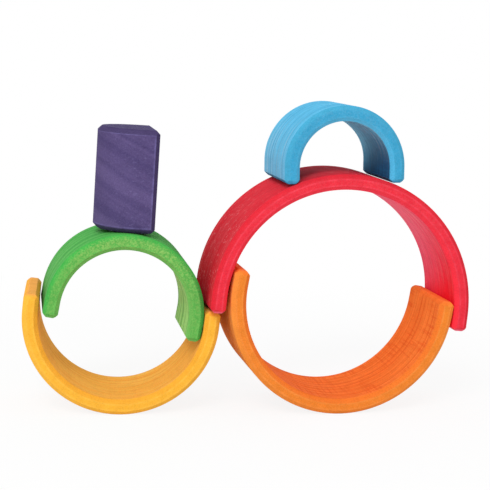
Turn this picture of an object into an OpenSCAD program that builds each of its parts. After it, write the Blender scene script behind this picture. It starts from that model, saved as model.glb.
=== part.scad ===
// A wooden rainbow: five arches and a half-round core, all sawn from one block with bevelled edges.
// They are built up as two rings that lean on each other. In each ring an arch lies on its back as a
// cradle and the next arch stands in or over its tips. The smallest arch and the core stand on top.
// +X is to the right, +Y away from the viewer and +Z up. The origin is on the floor, below the middle.

/* [Rainbow set] */
// Width of the largest arch across its legs
rainbow_width = 170; // [150:1:200]
// Thickness of every arch between its outer and its inner face
arch_thickness = 9.8; // [8:0.1:11]
// Width of the saw cut between neighbouring pieces
saw_gap = 1.7; // [1:0.1:3]
// Depth of the block that all the pieces are sawn from
block_depth = 65; // [45:1:85]
// Length of the straight legs below the half circle
leg_length = 10; // [6:0.5:14]
// Size of the bevel along every edge
edge_bevel = 2.5; // [1:0.1:3.5]

/* [Right ring] */
// Angle by which the front of the right ring faces to the right
right_turn = 11; // [6:0.5:16]
// Clockwise lean of the orange cradle
orange_lean = 9; // [5:0.5:13]
// Clockwise lean of the red arch over the orange cradle
red_lean = 5; // [0:0.5:8]
// Clockwise lean of the blue arch on the crown of the red arch
blue_lean = -1; // [-6:0.5:6]

/* [Left ring] */
// Angle by which the front of the left ring faces to the right
left_turn = 6.5; // [2:0.5:9]
// How far the left ring stands in front of the right one
left_advance = 14; // [0:1:24]
// Clockwise lean of the yellow cradle
yellow_lean = 5.5; // [2:0.5:10]
// Clockwise lean of the green arch in the yellow cradle
green_lean = 10; // [6:0.5:14]
// Share of the free play in the yellow cradle that the twist of the green arch takes up
green_wedge = 0.85; // [0:0.05:0.9]
// Clockwise lean of the core on the crown of the green arch
core_lean = 2.5; // [-6:0.5:6]

/* [Clearance] */
// Gap between two pieces where one rests on the other
rest_gap = 0.3; // [0.2:0.05:0.5]

/* [Hidden] */
$fn = 120;

// The arches of the nested set, from the outside in
NESTING = ["red", "orange", "yellow", "green", "blue"];
function nesting_order(colour) = search([colour], NESTING)[0];
RED = nesting_order("red");
ORANGE = nesting_order("orange");
YELLOW = nesting_order("yellow");
GREEN = nesting_order("green");
BLUE = nesting_order("blue");

// Radii of the nested set
function outer_radius(order) = rainbow_width / 2 - order * (arch_thickness + saw_gap);
function inner_radius(order) = outer_radius(order) - arch_thickness;
core_radius = inner_radius(BLUE) - saw_gap;

// Half depth of the block, and where its bevels begin along the depth and along a leg
half_depth = block_depth / 2;
face_edge = half_depth - edge_bevel;
leg_edge = leg_length - edge_bevel;

// A pose is a centre, a turn about the upright axis and a clockwise roll in the piece's own plane
function rolled(p, roll) = [
    p[0] * cos(roll) + p[2] * sin(roll),
    p[1],
    p[2] * cos(roll) - p[0] * sin(roll)
];
function swung(p, turn) = [
    p[0] * cos(turn) - p[1] * sin(turn),
    p[0] * sin(turn) + p[1] * cos(turn),
    p[2]
];
function placed(p, pose) = pose[0] + swung(rolled(p, pose[2]), pose[1]);

// Upward direction of a piece that leans clockwise in a turned plane
function upward(turn, lean) = swung(rolled([0, 0, 1], lean), turn);

// Corners of the flat face at the end of a leg, in the arch's own frame: the leg on the -X side
function leg_end_corners(order) = [
    for (x = [outer_radius(order) - edge_bevel, inner_radius(order) + edge_bevel])
        for (y = [-face_edge, face_edge])
            [-x, y, -leg_length]
];

// The green arch stands in the yellow cradle. Its twist takes up part of the play between its legs
// and the cradle, and its lower corners rest on the round inside of the cradle.
cradle_radius = inner_radius(YELLOW) - rest_gap;
green_reach = outer_radius(GREEN) + green_wedge * (cradle_radius - outer_radius(GREEN));
green_corner = norm([outer_radius(GREEN), face_edge]);
green_twist = atan(face_edge / outer_radius(GREEN)) - acos(green_reach / green_corner);
green_rise = leg_edge - sqrt(pow(cradle_radius, 2) - pow(green_reach, 2));
green_turn = left_turn + green_twist;

// The left ring comes up to the right one until the green arch nearly meets the left side of the red one
red_side = outer_radius(RED) * cos(red_lean) + leg_edge * sin(red_lean);
ring_skew = right_turn - green_turn;
red_reach = red_side * cos(ring_skew) + face_edge * sin(abs(ring_skew));
ring_spacing = outer_radius(GREEN) + rest_gap + red_reach;
green_offset = green_rise * upward(left_turn, green_lean);
green_y = green_offset[1] - left_advance;
left_x = -(ring_spacing + green_y * sin(green_turn)) / cos(green_turn) - green_offset[0];

yellow_centre = [left_x, -left_advance, outer_radius(YELLOW)];
yellow_pose = [yellow_centre, left_turn, 180 + yellow_lean];
green_pose = [yellow_centre + green_offset, green_turn, green_lean];

// The tips of the orange cradle reach up inside the red arch
arch_room = inner_radius(RED) - rest_gap;
orange_radius = outer_radius(ORANGE);
orange_roll = 180 + orange_lean;
lowest_seat = sqrt(pow(arch_room, 2) - pow(orange_radius, 2)) - leg_edge;
height_on_tips = orange_radius + rolled([0, 0, lowest_seat], orange_roll)[2];

// The red arch rests on those tips, or higher where its left leg stands on the yellow cradle's right tip
tip_normal = upward(left_turn, yellow_lean);
foot_normal = upward(right_turn, red_lean);
tip_corners = [for (p = leg_end_corners(YELLOW)) placed(p, yellow_pose)];
foot_corners = [for (p = leg_end_corners(RED)) placed(p, [[0, 0, 0], right_turn, red_lean])];
foot_dip = min([for (p = foot_corners) tip_normal * (p - tip_corners[0])]);
tip_reach = max([for (p = tip_corners) foot_normal * (p - foot_corners[0])]);
height_above_tip = (rest_gap - foot_dip) / tip_normal[2];
height_above_foot = (rest_gap + tip_reach) / foot_normal[2];
red_height = max(height_on_tips, min(height_above_tip, height_above_foot));
red_pose = [[0, 0, red_height], right_turn, red_lean];

// The right tip of the orange cradle meets the round part of the red arch's inner face, or its straight
// leg where the tip lies below the middle of the red arch
right_tip = rolled([-orange_radius, 0, -leg_edge], orange_roll);
tip_rise = orange_radius + right_tip[2] - red_height;
round_reach = sqrt(pow(arch_room, 2) - pow(tip_rise, 2));
leg_reach = (arch_room + tip_rise * sin(red_lean)) / cos(red_lean);
tip_on_round = round_reach * sin(red_lean) + tip_rise * cos(red_lean) >= 0;
orange_shift = (tip_on_round ? round_reach : leg_reach) - right_tip[0];
orange_pose = [swung([orange_shift, 0, orange_radius], right_turn), right_turn, orange_roll];

// The legs of the blue arch stand astride the crown of the red arch
crown_radius = outer_radius(RED) + rest_gap;
blue_rise = max(
    leg_length + sqrt(pow(crown_radius, 2) - pow(inner_radius(BLUE) + edge_bevel, 2)),
    leg_edge + sqrt(pow(crown_radius, 2) - pow(inner_radius(BLUE), 2))
);
blue_pose = [red_pose[0] + blue_rise * upward(right_turn, blue_lean), right_turn, blue_lean];

// The core stands on one half-disc end, with its centre of mass over the line where it meets the crown
half_disc_area = PI * pow(core_radius, 2) / 2;
stilt_area = 2 * core_radius * leg_length;
half_disc_moment = 2 * pow(core_radius, 3) / 3;
core_balance = (half_disc_moment - stilt_area * leg_length / 2) / (half_disc_area + stilt_area);
core_up = upward(green_turn, core_lean);
core_along = swung(rolled([1, 0, 0], core_lean), green_turn);
core_rise = outer_radius(GREEN) + rest_gap + half_depth;
core_pose = [green_pose[0] + core_rise * core_up + core_balance * core_along, green_turn, core_lean];

// Turns the core from lying on its flat face to standing on its end, with the flat face to the right
standing = [90, 0, -90];

// Middle of the whole stack, from points along the outer edges of the widest arches
sweep_step = 2;
function edge_points(order) = [
    for (side = [[outer_radius(order), face_edge], [outer_radius(order) - edge_bevel, half_depth]])
        for (y = [-side[1], side[1]])
            for (a = [0 : sweep_step : 180])
                for (drop = a == 0 || a == 180 ? [0, leg_edge] : [0])
                    [side[0] * cos(a), y, side[0] * sin(a) - drop]
];
outline = [
    for (piece = [[RED, red_pose], [ORANGE, orange_pose], [YELLOW, yellow_pose], [GREEN, green_pose]])
        for (p = edge_points(piece[0]))
            placed(p, piece[1])
];
function middle(axis) = (min([for (p = outline) p[axis]]) + max([for (p = outline) p[axis]])) / 2;
stack_middle = [middle(0), middle(1), 0];

// Moves a piece from its own frame to its place in the stack
module place(pose) {
    translate(pose[0] - stack_middle)
        rotate([0, 0, pose[1]])
            rotate([0, pose[2], 0])
                children();
}

// Bevelled section of a piece across its thickness (x) and its depth (y)
module bevelled_section(inner, outer) {
    polygon([
        [inner + edge_bevel, -half_depth],
        [outer - edge_bevel, -half_depth],
        [outer, -face_edge],
        [outer, face_edge],
        [outer - edge_bevel, half_depth],
        [inner + edge_bevel, half_depth],
        [inner, face_edge],
        [inner, -face_edge]
    ]);
}

// Outline of a leg that hangs below the middle, with its lower corners bevelled
module leg_outline(left, right) {
    polygon([
        [left, 0],
        [left, -leg_edge],
        [left + edge_bevel, -leg_length],
        [right - edge_bevel, -leg_length],
        [right, -leg_edge],
        [right, 0]
    ]);
}

// Straight leg between two faces, bevelled along its sides and around its end
module leg(inner, outer) {
    intersection() {
        translate([0, 0, -leg_length])
            linear_extrude(leg_length)
                bevelled_section(inner, outer);
        rotate([90, 0, 0])
            linear_extrude(block_depth, center = true)
                leg_outline(inner, outer);
        translate([inner, 0, 0])
            rotate([90, 0, 90])
                linear_extrude(outer - inner)
                    leg_outline(-half_depth, half_depth);
    }
}

// One arch of the set in its own frame: standing on its legs, its axis along Y
module arch(order) {
    rotate([90, 0, 0])
        rotate_extrude(angle = 180)
            bevelled_section(inner_radius(order), outer_radius(order));
    leg(inner_radius(order), outer_radius(order));
    mirror([1, 0, 0])
        leg(inner_radius(order), outer_radius(order));
}

// Half of the core's section, from its axis out
module core_section() {
    polygon([
        [0, -half_depth],
        [core_radius - edge_bevel, -half_depth],
        [core_radius, -face_edge],
        [core_radius, face_edge],
        [core_radius - edge_bevel, half_depth],
        [0, half_depth]
    ]);
}

module orange_arch() {
    color("#F08A30")
        place(orange_pose)
            arch(ORANGE);
}

module red_arch() {
    color("#E63C4C")
        place(red_pose)
            arch(RED);
}

module blue_arch() {
    color("#3EA5D7")
        place(blue_pose)
            arch(BLUE);
}

module yellow_arch() {
    color("#FBB93A")
        place(yellow_pose)
            arch(YELLOW);
}

module green_arch() {
    color("#50B44B")
        place(green_pose)
            arch(GREEN);
}

module purple_core() {
    color("#5A4B82")
        place(core_pose)
            rotate(standing) {
                rotate([90, 0, 0])
                    rotate_extrude(angle = 180)
                        core_section();
                leg(-core_radius, core_radius);
            }
}

orange_arch();
red_arch();
blue_arch();
yellow_arch();
green_arch();
purple_core();
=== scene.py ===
"""A wooden rainbow, built up as two leaning rings: five dyed arches and a half-round core.

Every piece is a surface worked out in its own frame, where the arch stands on its legs with its axis
along Y, and is then rolled, turned and moved to its place in the stack. Where each piece rests follows
from the sizes of the set, the turns and leans of the pieces and one rest gap. The dyed wood reads the
piece's own coordinates, so the grain stays in the wood however the piece is stacked.
"""

import logging
import math
from dataclasses import dataclass, replace
from enum import Enum

import bpy
import numpy as np
from mathutils import Matrix, Vector

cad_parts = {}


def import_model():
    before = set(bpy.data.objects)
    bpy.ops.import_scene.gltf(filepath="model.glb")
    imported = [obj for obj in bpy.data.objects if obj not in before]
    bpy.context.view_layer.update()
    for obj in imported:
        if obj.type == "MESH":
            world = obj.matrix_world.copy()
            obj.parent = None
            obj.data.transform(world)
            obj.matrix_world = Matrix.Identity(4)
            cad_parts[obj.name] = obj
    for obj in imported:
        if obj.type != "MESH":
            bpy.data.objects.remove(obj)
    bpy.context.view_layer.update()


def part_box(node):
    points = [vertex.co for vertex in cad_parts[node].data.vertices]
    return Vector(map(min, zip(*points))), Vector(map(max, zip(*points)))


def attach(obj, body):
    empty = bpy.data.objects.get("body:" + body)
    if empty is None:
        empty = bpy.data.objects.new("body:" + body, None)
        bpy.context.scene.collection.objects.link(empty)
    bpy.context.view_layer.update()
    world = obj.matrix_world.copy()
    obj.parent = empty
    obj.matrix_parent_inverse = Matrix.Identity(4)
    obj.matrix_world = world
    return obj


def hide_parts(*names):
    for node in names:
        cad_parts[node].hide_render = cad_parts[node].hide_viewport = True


Point = tuple[float, float, float]
Colour = tuple[float, float, float, float]
Socket = bpy.types.NodeSocket

LOG = logging.getLogger("rainbow")
MM = 0.001
HALF_TURN = 180.0
QUARTER_TURN = 90.0

# A rounding takes at most this share of the shorter side beside its corner
CORNER_SHARE = 0.45
# A bevel ends where the distances from its two sides add up to this many times its size
BEVEL_ZONE = 1.4

# The curve between a screen colour and a linear one
SCREEN_FULL = 255
SCREEN_KNEE = 0.04045
SCREEN_SLOPE = 12.92
SCREEN_OFFSET = 0.055
SCREEN_POWER = 2.4

# Numbers of the colour sockets on a Mix node
MIX_FIRST = 6
MIX_SECOND = 7
MIX_RESULT = 2

# Ranges of noise that show as saw marks, as patches of them and as mottle
SAW_LINE = (0.48, 0.62)
SAW_PATCH = (0.38, 0.6)
MOTTLE = (0.3, 0.7)
# Repeats of the saw marks' noise along the depth, for each metre
SAW_DEPTH = 25.0
# How a bevel fades out at its border, and how far outside it its worn line lies, in millimetres
BEVEL_FADE = (-0.3, 0.3, 1.0, 0.0)
BORDER_OFFSET = 0.35
# How the worn line fades out over its width
BORDER_FADE = (0.0, 1.0, 1.0, 0.0)

# A whole range, where only the results matter
WHOLE = (0.0, 1.0)
# Ranges of the rise over which a place on the piece fades in
# TOWARDS_LEGS fades the outer face's painted light and shade in towards the legs
TOWARDS_LEGS = (0.75, 0.0)
TOWARDS_CROWN = (0.1, 0.9)
BELOW_CROWN = (0.95, 0.5)
SPECKLED = (0.3, 0.95)
# Painted shade at the low front of the inner face: a range of the rise plus this much for each metre of
# depth
SHADE_DEPTH_SLOPE = 9.0
SHADE_FADE = (1.0, 0.05)
# Distance from the inner face over which the outer bevels take over from the inner ones
OUTER_HALF = (4 * MM, 6 * MM)
# Share of a bevel's colour, dye with painted light and shade, and the least shares of specks and of wear
BEVEL_SHARE = 0.8
LEAST_SPECKLE = 0.5
LEAST_WEAR = 0.4
# Darkest and lightest tone of the fine and of the broad mottle
FINE_TONE = (0.93, 1.07)
BROAD_TONE = (0.97, 1.03)
# The relief: the fibres' share of it, its strength and its depth
FIBRE_RELIEF = 0.5
RELIEF_STRENGTH = 0.25
RELIEF_DEPTH = 0.12 * MM
# The matte surface: its roughness between the fibres and on them, and its gloss
ROUGHNESS = (0.66, 0.78)
GLOSS = 0.02

# The fitted focal length and the width of the picture, in pixels
FOCAL_PIXELS = 1385
PICTURE_PIXELS = 490


class Stance(Enum):
    """How a piece is turned in its own frame before it is rolled into its place."""

    ON_LEGS = "standing on its legs, or on its back once rolled over"
    ON_END = "standing on one flat end, with its underside to the right"


class Order(Enum):
    """Place of an arch in the nested set, from the outside in."""

    RED = 0
    ORANGE = 1
    YELLOW = 2
    GREEN = 3
    BLUE = 4


@dataclass(frozen=True)
class Block:
    """Sizes of the block that all the pieces are sawn from, in metres."""

    width: float = 170 * MM
    thickness: float = 9.8 * MM
    saw_gap: float = 1.7 * MM
    depth: float = 65 * MM
    leg: float = 10 * MM
    bevel: float = 2.5 * MM
    sanding: float = 0.55 * MM
    least_chamfer: float = 0.35 * MM

    def outer(self, order: Order) -> float:
        """Outer radius of an arch."""
        return self.width / 2 - order.value * (self.thickness + self.saw_gap)

    def inner(self, order: Order) -> float:
        """Inner radius of an arch."""
        return self.outer(order) - self.thickness

    def core_radius(self) -> float:
        """Radius of the half-round core inside the smallest arch."""
        return self.inner(Order.BLUE) - self.saw_gap

    def face_edge(self) -> float:
        """Distance from the middle of the depth to where the bevels begin."""
        return self.depth / 2 - self.bevel

    def leg_edge(self) -> float:
        """Length along a leg to where the bevel around its end begins."""
        return self.leg - self.bevel

    def leg_end(self, order: Order) -> np.ndarray:
        """Corners of the flat end of an arch's leg on the -X side, in its own frame.

        Args:
            order: Place of the arch in the set.

        Returns:
            The corners, as 4 by 3.
        """
        across = [self.bevel - self.outer(order), -self.inner(order) - self.bevel]
        depth = [-self.face_edge(), self.face_edge()]
        corners = np.meshgrid(across, depth, [-self.leg], indexing="ij")
        return np.stack(corners, axis=-1).reshape(-1, 3)

    def outer_edges(self, order: Order, step: float) -> np.ndarray:
        """Points along the borders of an arch's outer bevels, in its own frame.

        A point of a border at radius r stands at (r cos a, y, r sin a), where a goes round the half
        circle in even steps. One more point stands at the lower end of each leg.

        Args:
            order: Place of the arch in the set.
            step: Angle between two points, in degrees.

        Returns:
            The points, as count by 3.
        """
        angle = np.radians(np.arange(0.0, HALF_TURN + step, step))
        across = np.concatenate([[1.0], np.cos(angle), [-1.0]])
        height = np.concatenate([[0.0], np.sin(angle), [0.0]])
        drop = np.concatenate([[self.leg_edge()], np.zeros(len(angle)), [self.leg_edge()]])
        lines = []
        for inset, depth in ((0.0, self.face_edge()), (self.bevel, self.depth / 2)):
            radius = self.outer(order) - inset
            for y in (-depth, depth):
                line = [radius * across, np.full(len(across), y), radius * height - drop]
                lines.append(np.stack(line, axis=-1))
        return np.concatenate(lines)


def six_digits(value: float) -> float:
    """Rounds a value to six digits, so that the last bits of the arithmetic move nothing."""
    return float(f"{value:.6g}")


@dataclass(frozen=True)
class Pose:
    """Place of a piece in the stack: its centre in metres, its turn and its clockwise roll in degrees."""

    centre: np.ndarray
    turn: float
    roll: float
    stance: Stance = Stance.ON_LEGS

    def rotation(self) -> np.ndarray:
        """Rotation from the piece's own frame: its stance, its roll about Y, then its turn about Z.

        Returns:
            A 3 by 3 matrix.
        """
        roll, turn = math.radians(self.roll), math.radians(self.turn)
        about_y = np.array(
            [[math.cos(roll), 0, math.sin(roll)], [0, 1, 0], [-math.sin(roll), 0, math.cos(roll)]]
        )
        about_z = np.array(
            [[math.cos(turn), -math.sin(turn), 0], [math.sin(turn), math.cos(turn), 0], [0, 0, 1]]
        )
        stand = np.eye(3)
        if self.stance is Stance.ON_END:
            # The own X axis comes towards the viewer, Y goes up and Z goes to the left
            stand = np.array([[0.0, 0.0, -1.0], [-1.0, 0.0, 0.0], [0.0, 1.0, 0.0]])
        return about_z @ about_y @ stand

    def place(self, points: np.ndarray) -> np.ndarray:
        """Moves points of the piece's own frame, X, Y, Z along the last axis, to their place."""
        return points @ self.rotation().T + self.centre

    def moved(self, by: np.ndarray) -> "Pose":
        """The same pose to six digits, with its centre moved."""
        centre = np.array([six_digits(place) for place in self.centre])
        return replace(self, centre=centre + by, turn=six_digits(self.turn))


def turned(turn: float, roll: float) -> Pose:
    """A pose at the origin, with a turn and a clockwise roll in degrees."""
    return Pose(np.zeros(3), turn, roll)


def linear(red: int, green: int, blue: int) -> Colour:
    """Turns a screen colour into the linear colour that a shader takes.

    Args:
        red: Red, from 0 to 255.
        green: Green, from 0 to 255.
        blue: Blue, from 0 to 255.

    Returns:
        Red, green, blue and an alpha of 1, from 0 to 1.
    """
    screen = np.array([red, green, blue]) / SCREEN_FULL
    bright = ((screen + SCREEN_OFFSET) / (1 + SCREEN_OFFSET)) ** SCREEN_POWER
    value = np.where(screen <= SCREEN_KNEE, screen / SCREEN_SLOPE, bright)
    return (float(value[0]), float(value[1]), float(value[2]), 1.0)


@dataclass(frozen=True)
class DyeAndLight:
    """Colours of one piece: dye on bare wood, with painted light and shade on curved faces, ends and
    bevels.

    Attributes:
        slot: Name of the colour, put at the end of the name of the piece's material.
        main: Colour of the front and back faces.
        outside: Colour of the outer face at the crown, with painted light.
        outside_low_painted_light: Colour of the outer face at the legs, with painted light and shade.
        inside: Colour of the inner face at the crown, with painted light.
        inside_low_painted_shade: Colour of painted shade on the inner face at its low front.
        end: Colour of the flat ends, with painted light and shade.
        outer_bevel_dye_and_light: Colour of the bevels along the outer face: dye with painted light and
            shade.
        inner_bevel_dye_and_light: Colour of the bevels along the inner face: dye with painted light and
            shade.
        border: Colour of the thin worn lines along the bevels' borders.
        deep: Colour of the darker grain.
        pale: Colour where fibres took less dye.
        grain_seed: Offset of the noise, so that no two pieces share their grain.
        growth_way: Direction across the growth lines, along the curve, the depth and the thickness.
        growth_gap: Distance between growth lines.
        growth_waver: How far the growth lines wander, in lines.
        growth_low: Where the growth lines begin to darken, from 0 to 1.
        growth_high: Where the growth lines are darkest, from 0 to 1.
        growth: Strength of the growth lines on the curved faces.
        fibre: Strength of the long fibres on the curved faces.
        fleck: Share of short pale fibres on the outer face below the crown.
        pale_outside: Share of long pale fibres on the outer face below the crown.
        pale_inside: Share of long pale fibres on the inner face towards the crown.
        saw: Strength of the saw marks across the inner face.
        speckle: Strength of pale specks on the front and back faces.
        curved_speckle: Strength of pale specks on the curved faces.
        worn: Strength of the worn lines along the bevels.
    """

    slot: str
    main: Colour
    # From the outer face's colour to the inner bevel's, these colours are dye with painted light and shade
    # in them
    outside: Colour
    outside_low_painted_light: Colour
    inside: Colour
    inside_low_painted_shade: Colour
    end: Colour
    outer_bevel_dye_and_light: Colour
    inner_bevel_dye_and_light: Colour
    border: Colour
    deep: Colour
    pale: Colour
    grain_seed: float
    growth_way: Point = (0.03, 1.0, 0.6)
    growth_gap: float = 3.5 * MM
    growth_waver: float = 1.2
    growth_low: float = 0.5
    growth_high: float = 0.66
    growth: float = 0.3
    fibre: float = 0.3
    fleck: float = 0.1
    pale_outside: float = 0.2
    pale_inside: float = 0.3
    saw: float = 0.25
    speckle: float = 0.12
    curved_speckle: float = 0.0
    worn: float = 0.35


@dataclass(frozen=True)
class Noise:
    """A noise: its repeats for each metre, its detail and its roughness."""

    scale: float
    detail: float
    rough: float


STREAK_NOISE = Noise(1.0, 4.0, 0.55)
WAVER_NOISE = Noise(22.0, 1.0, 0.5)
BAND_NOISE = Noise(1.0, 2.0, 0.5)
SAW_NOISE = Noise(1.0, 2.0, 0.6)
PATCH_NOISE = Noise(30.0, 2.0, 0.5)
FINE_NOISE = Noise(1300.0, 2.0, 0.7)
BROAD_NOISE = Noise(156.0, 2.0, 0.5)


@dataclass(frozen=True)
class Streak:
    """One kind of fibre.

    Attributes:
        along: Repeats along the grain, for each metre.
        across: Repeats across the grain, for each metre.
        seed: Offset of its noise from the piece's own.
        low: Noise at which it begins to show.
        high: Noise at which it shows in full.
    """

    along: float
    across: float
    seed: float
    low: float
    high: float


LONG_FIBRE = Streak(12.0, 260.0, 0.0, 0.4, 0.66)
SHORT_FLECK = Streak(420.0, 760.0, 7.0, 0.59, 0.69)
PALE_FIBRE = Streak(22.0, 460.0, 5.0, 0.46, 0.66)
SPECK = Streak(1000.0, 1000.0, 3.0, 0.36, 0.68)


class NodeKit:
    """Short hands for building a node tree."""

    def __init__(self, tree: bpy.types.NodeTree) -> None:
        """Keeps the tree that nodes are added to."""
        self.tree = tree

    @classmethod
    def emptied(cls, owner: bpy.types.Material | bpy.types.World) -> "NodeKit":
        """Gives a material or the world an empty node tree.

        Args:
            owner: The material or world.
        """
        owner.use_nodes = True
        owner.node_tree.nodes.clear()
        return cls(owner.node_tree)

    def add(self, kind: str, **settings: object) -> bpy.types.Node:
        """Adds a node and sets its own properties.

        Args:
            kind: Blender's name of the node type.
            **settings: Properties of the node.

        Returns:
            The new node.
        """
        node = self.tree.nodes.new(kind)
        for key, value in settings.items():
            setattr(node, key, value)
        return node

    def wire(self, source: object, target: Socket) -> None:
        """Links an output to an input, or sets the input where the source is a plain value.

        Args:
            source: The output or value.
            target: The input.
        """
        if isinstance(source, Socket):
            self.tree.links.new(source, target)
        else:
            target.default_value = source

    def feed(self, node: bpy.types.Node, *sources: object) -> bpy.types.Node:
        """Wires outputs or values to a node's first inputs.

        Args:
            node: The node.
            *sources: The outputs or values, in order.

        Returns:
            The same node.
        """
        for slot, source in enumerate(sources):
            self.wire(source, node.inputs[slot])
        return node

    def math(self, operation: str, *sources: object) -> Socket:
        """Adds a Math node of the named operation on its sources."""
        return self.feed(self.add("ShaderNodeMath", operation=operation), *sources).outputs[0]

    def product(self, *sources: object) -> Socket:
        """Multiplies outputs or values one after the other.

        Args:
            *sources: Two or more outputs or values.

        Returns:
            The product.
        """
        result = sources[0]
        for source in sources[1:]:
            result = self.math("MULTIPLY", result, source)
        return result

    def rest(self, share: Socket) -> Socket:
        """One less a share."""
        return self.math("SUBTRACT", 1.0, share)

    def mix(self, factor: object, first: object, second: object, blend: str = "MIX") -> Socket:
        """Adds a colour Mix node.

        Args:
            factor: Share of the second colour.
            first: First colour or output.
            second: Second colour or output.
            blend: Blender's name of the blend type.

        Returns:
            Its colour output.
        """
        node = self.add("ShaderNodeMix", data_type="RGBA", blend_type=blend)
        self.wire(factor, node.inputs[0])
        self.wire(first, node.inputs[MIX_FIRST])
        self.wire(second, node.inputs[MIX_SECOND])
        return node.outputs[MIX_RESULT]

    def layer(self, under: Socket, over: object, *shares: object) -> Socket:
        """Lays a colour over another, with the product of the shares."""
        return self.mix(self.product(*shares), under, over)

    def span(
        self, value: Socket, low: object, high: object, to_low: float = 0.0, to_high: float = 1.0
    ) -> Socket:
        """Adds a smooth Map Range node.

        Args:
            value: The output that is mapped.
            low: Value at the start of the range.
            high: Value at the end of the range.
            to_low: Result at the start.
            to_high: Result at the end.

        Returns:
            Its output.
        """
        node = self.add("ShaderNodeMapRange", interpolation_type="SMOOTHSTEP")
        return self.feed(node, value, low, high, to_low, to_high).outputs[0]

    def vector(self, operation: str, first: Socket, second: Socket) -> Socket:
        """Adds a Vector Math node of the named operation that puts out a vector."""
        return self.feed(self.add("ShaderNodeVectorMath", operation=operation), first, second).outputs[0]

    def split(self, vector: Socket) -> tuple[Socket, Socket, Socket]:
        """Takes a vector apart into its three values."""
        return tuple(self.feed(self.add("ShaderNodeSeparateXYZ"), vector).outputs)

    def join(self, *values: object) -> Socket:
        """Puts values together into a vector."""
        return self.feed(self.add("ShaderNodeCombineXYZ"), *values).outputs[0]

    def noise(self, place: Socket, look: Noise, bands: bool = False) -> Socket:
        """Adds a Noise texture.

        Args:
            place: Where the noise is read: a vector, or a single value for bands.
            look: Its scale, detail and roughness.
            bands: Whether it changes along one value only.

        Returns:
            Its value, from 0 to 1.
        """
        node = self.add("ShaderNodeTexNoise", noise_dimensions="1D" if bands else "3D")
        self.wire(place, node.inputs["W" if bands else "Vector"])
        node.inputs["Scale"].default_value = look.scale
        node.inputs["Detail"].default_value = look.detail
        node.inputs["Roughness"].default_value = look.rough
        return node.outputs[0]

    def attribute(self, name: str, output: str) -> Socket:
        """Reads a mesh attribute, as the named output of its node."""
        node = self.add("ShaderNodeAttribute", attribute_type="GEOMETRY", attribute_name=name)
        return node.outputs[output]


@dataclass(frozen=True)
class Places:
    """Outputs that say where on a piece a point lies.

    They are shares from 0 to 1 of each kind of face, of a bevel and of the worn line at its border, the
    rise from 0 to 1, and the places along the depth and across the thickness in metres.
    """

    outer: Socket
    inner: Socket
    end: Socket
    curved: Socket
    face: Socket
    bevel: Socket
    border: Socket
    rise: Socket
    depth: Socket
    across: Socket


@dataclass(frozen=True)
class Grain:
    """Outputs of one piece's grain, each from 0 to 1.

    They are its long fibres, short pale flecks, long pale fibres, pale specks, growth lines and saw marks,
    and its fine and broad mottle.
    """

    fibre: Socket
    fleck: Socket
    pale: Socket
    speck: Socket
    line: Socket
    mark: Socket
    fine: Socket
    broad: Socket


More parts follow.
